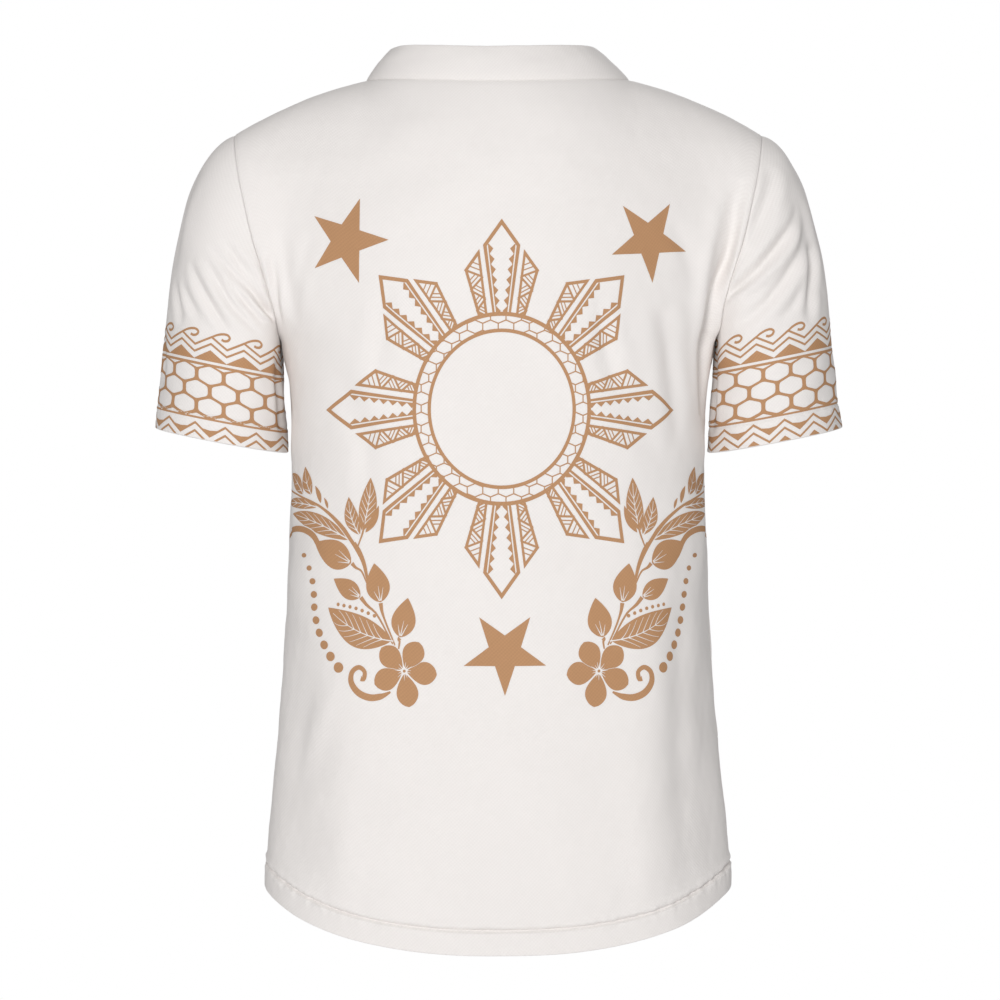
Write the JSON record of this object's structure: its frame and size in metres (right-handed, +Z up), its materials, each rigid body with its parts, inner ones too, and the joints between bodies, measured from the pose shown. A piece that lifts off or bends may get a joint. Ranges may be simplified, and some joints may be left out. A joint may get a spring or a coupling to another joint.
{
  "type": "short-sleeved rugby shirt",
  "caption": "Short-sleeved V-neck knit rugby shirt, hollow and filled out as worn, with a standing neckband, set-in sleeves, curved tail hem and a printed back and sleeves.",
  "frame": {"origin": "middle of the neck, level with the inner ends of the shoulder seams, where the wearer's shoulders hold the shirt", "axes": "+Z up along the body, -Y the wearer's back, +Y the front, +X the wearer's right arm"},
  "size_m": [0.5898, 0.2528, 0.7604],
  "materials": {
    "jersey_cloth": "matt off-white fine twilled polyester knit",
    "sleeve_cloth": "matt off-white fine twilled polyester knit",
    "band_cloth": "matt off-white doubled knit",
    "print": "matt tan print in the cloth"
  },
  "bodies": {
    "root": {"back_panel": "jersey_cloth", "front_panel": "jersey_cloth", "sleeve_left": "sleeve_cloth", "sleeve_right": "sleeve_cloth", "neckband": "band_cloth"}
  },
  "joints": []
}
